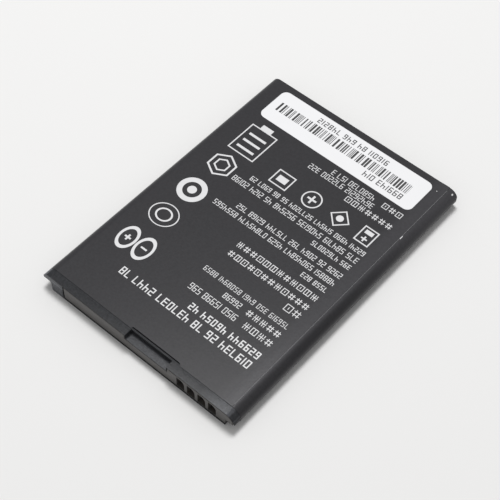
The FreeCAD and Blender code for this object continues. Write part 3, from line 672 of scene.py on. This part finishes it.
# %% [markdown]
# The sticker carries a barcode between two rows of plain marks. Its bars are a generic draw of
# widths and gaps, so it holds no message.

# %% Print on the sticker
LABEL_SEED = 11
BARCODE_LEFT, BARCODE_RIGHT, BARCODE_NEAR, BARCODE_FAR = -17.9, 16.6, 27.1, 29.7
BAR_WIDTHS = (0.16, 0.16, 0.32, 0.48)
BAR_GAPS = (0.16, 0.22, 0.34, 0.5)
LABEL_ROWS = [(-10.4, 9.2, 30.3, 31.7), (6.3, 16.5, 25.1, 26.6)]


def make_label_print():
    draw = random.Random(LABEL_SEED)
    mesh = bmesh.new()
    place = BARCODE_LEFT
    while place < BARCODE_RIGHT:
        width = draw.choice(BAR_WIDTHS)
        end = min(place + width, BARCODE_RIGHT)
        block(mesh, place, end, BARCODE_NEAR, BARCODE_FAR, LABEL_TOP)
        place += width + draw.choice(BAR_GAPS)
    for row in LABEL_ROWS:
        fill_row(mesh, draw, "sticker", *row, LABEL_TOP)
    add_piece("label_print", mesh, BLACK_INK)


make_label_print()

# %% [markdown]
# The film's lap ends in a knife-cut edge near the right side, and the cut shows the film's greyer
# core as a thin line. Handling has chipped it here and there down to white. The line is a thin
# strip that stands against the cut, and each chip is a small flat shape with an uneven outline.

# %% Cut edge and chips
CORE = finish("film_core", (0.23, 0.23, 0.24), 0.6, 0.2, 0.2, mottle=0.5, mottle_size=3.0)
BARE_CORE = finish("bare_core", (0.80, 0.80, 0.80), 0.6, 0.2, 0.2, mottle=0.3, mottle_size=0.5)
CUT_BASE, CUT_WIDE = FILM_TOP - 0.01, 0.05
CUT_NEAR, CUT_FAR = film_low.y / MM + 0.6, film_high.y / MM - 1.0
CHIP_SEED = 3
CHIP_CORNERS, CHIP_UNEVEN, CHIP_THICK = 8, (0.75, 1.0), 2 * INK_THICK
# Each chip: across, along, width, length, and the height that it lies at.
CHIPS = [
    (22.45, 17.75, 0.28, 1.2, CUT_BASE),
    (20.9, 31.9, 0.26, 0.20, FILM_TOP + 0.055),
]


def make_cut_edge():
    mesh = bmesh.new()
    block(mesh, LAP_EDGE, LAP_EDGE + CUT_WIDE, CUT_NEAR, CUT_FAR, CUT_BASE, LAP_RISE)
    add_piece("lap_cut_edge", mesh, CORE)


def chip(mesh, draw, across, along, wide, long, base):
    """A flat chip with an uneven outline."""
    corners = []
    for step in range(CHIP_CORNERS):
        angle = step * math.tau / CHIP_CORNERS
        reach = draw.uniform(*CHIP_UNEVEN)
        place = Vector((across + math.cos(angle) * reach * wide / 2,
                        along + math.sin(angle) * reach * long / 2, base))
        corners.append(mesh.verts.new(place * MM))
    thicken(mesh, [mesh.faces.new(corners)], CHIP_THICK)


def make_chips():
    draw = random.Random(CHIP_SEED)
    mesh = bmesh.new()
    for across, along, wide, long, base in CHIPS:
        chip(mesh, draw, across, along, wide, long, base)
    add_piece("film_chips", mesh, BARE_CORE)


make_cut_edge()
make_chips()

# %% [markdown]
# The floor belongs to the studio. It is a pale matt sheet that fills the picture, a hair below the
# pack, so that no two faces lie in one place.

# %% Floor
FLOOR_GAP = 0.01
FLOOR_REACH = 1.5
FLOOR_COLOR, FLOOR_ROUGHNESS = (0.84, 0.837, 0.831, 1), 0.9


def make_floor():
    mesh = bmesh.new()
    bmesh.ops.create_grid(mesh, x_segments=1, y_segments=1, size=FLOOR_REACH,
                          matrix=Matrix.Translation((0, 0, -FLOOR_GAP * MM)))
    data = bpy.data.meshes.new("floor")
    mesh.to_mesh(data)
    mesh.free()
    material = bpy.data.materials.new("floor_sheet")
    material.use_nodes = True
    shader = material.node_tree.nodes["Principled BSDF"]
    set_inputs(shader, Base_Color=FLOOR_COLOR, Roughness=FLOOR_ROUGHNESS)
    data.materials.append(material)
    floor = bpy.data.objects.new("floor", data)
    bpy.context.scene.collection.objects.link(floor)
    print("floor reaches", FLOOR_REACH, "metres each way")


make_floor()

# %% [markdown]
# One lamp hangs behind and to the left, high above the pack: it throws the short soft shadow in
# front and to the right. Its place follows from the picture: the shadow's edge says how far it
# leans from upright, and the soft brightening of the film says on which side of the mirror
# direction it hangs. Plain white surroundings fill the rest.

# %% Lights
LAMP_PLACE, LAMP_SIZE, LAMP_POWER = (-0.19, 0.175, 0.80), 0.26, 4.78
SURROUNDINGS = 0.411


def add_lamp(name, place, size, power):
    """A square lamp that faces the pack."""
    lamp = bpy.data.lights.new(name, "AREA")
    lamp.size = size
    lamp.energy = power
    holder = bpy.data.objects.new(name, lamp)
    holder.location = place
    holder.rotation_euler = (-Vector(place)).to_track_quat("-Z", "Y").to_euler()
    bpy.context.scene.collection.objects.link(holder)


add_lamp("overhead", LAMP_PLACE, LAMP_SIZE, LAMP_POWER)
world = bpy.data.worlds.new("studio")
world.use_nodes = True
set_inputs(world.node_tree.nodes["Background"], Color=(1, 1, 1, 1), Strength=SURROUNDINGS)
bpy.context.scene.world = world
print("lamp at", LAMP_PLACE, "power", LAMP_POWER, "surroundings", SURROUNDINGS)

# %% [markdown]
# The camera was solved from the pack's edges in the photograph: it looks down steeply from in front
# and to the right, through a long lens, and leans a little.

# %% Camera
AZIMUTH, ELEVATION, ROLL = 39.03, 54.01, 2.10
CAMERA_PLACE = (93.658, -117.211, 204.267)
SENSOR, LENS = 36.0, 91.29
NEAREST_SEEN = 0.01
camera_data = bpy.data.cameras.new("camera")
camera_data.sensor_width = SENSOR
camera_data.lens = LENS
camera_data.clip_start = NEAREST_SEEN
camera = bpy.data.objects.new("camera", camera_data)
turn = Matrix.Rotation(math.radians(AZIMUTH), 4, "Z")
tilt = Matrix.Rotation(math.radians(90 - ELEVATION), 4, "X")
lean = Matrix.Rotation(math.radians(ROLL), 4, "Z")
camera.matrix_world = Matrix.Translation(Vector(CAMERA_PLACE) * MM) @ turn @ tilt @ lean
bpy.context.scene.collection.objects.link(camera)
bpy.context.scene.camera = camera
bpy.context.scene.view_settings.view_transform = "Standard"
print("camera at", CAMERA_PLACE, "lens", LENS)
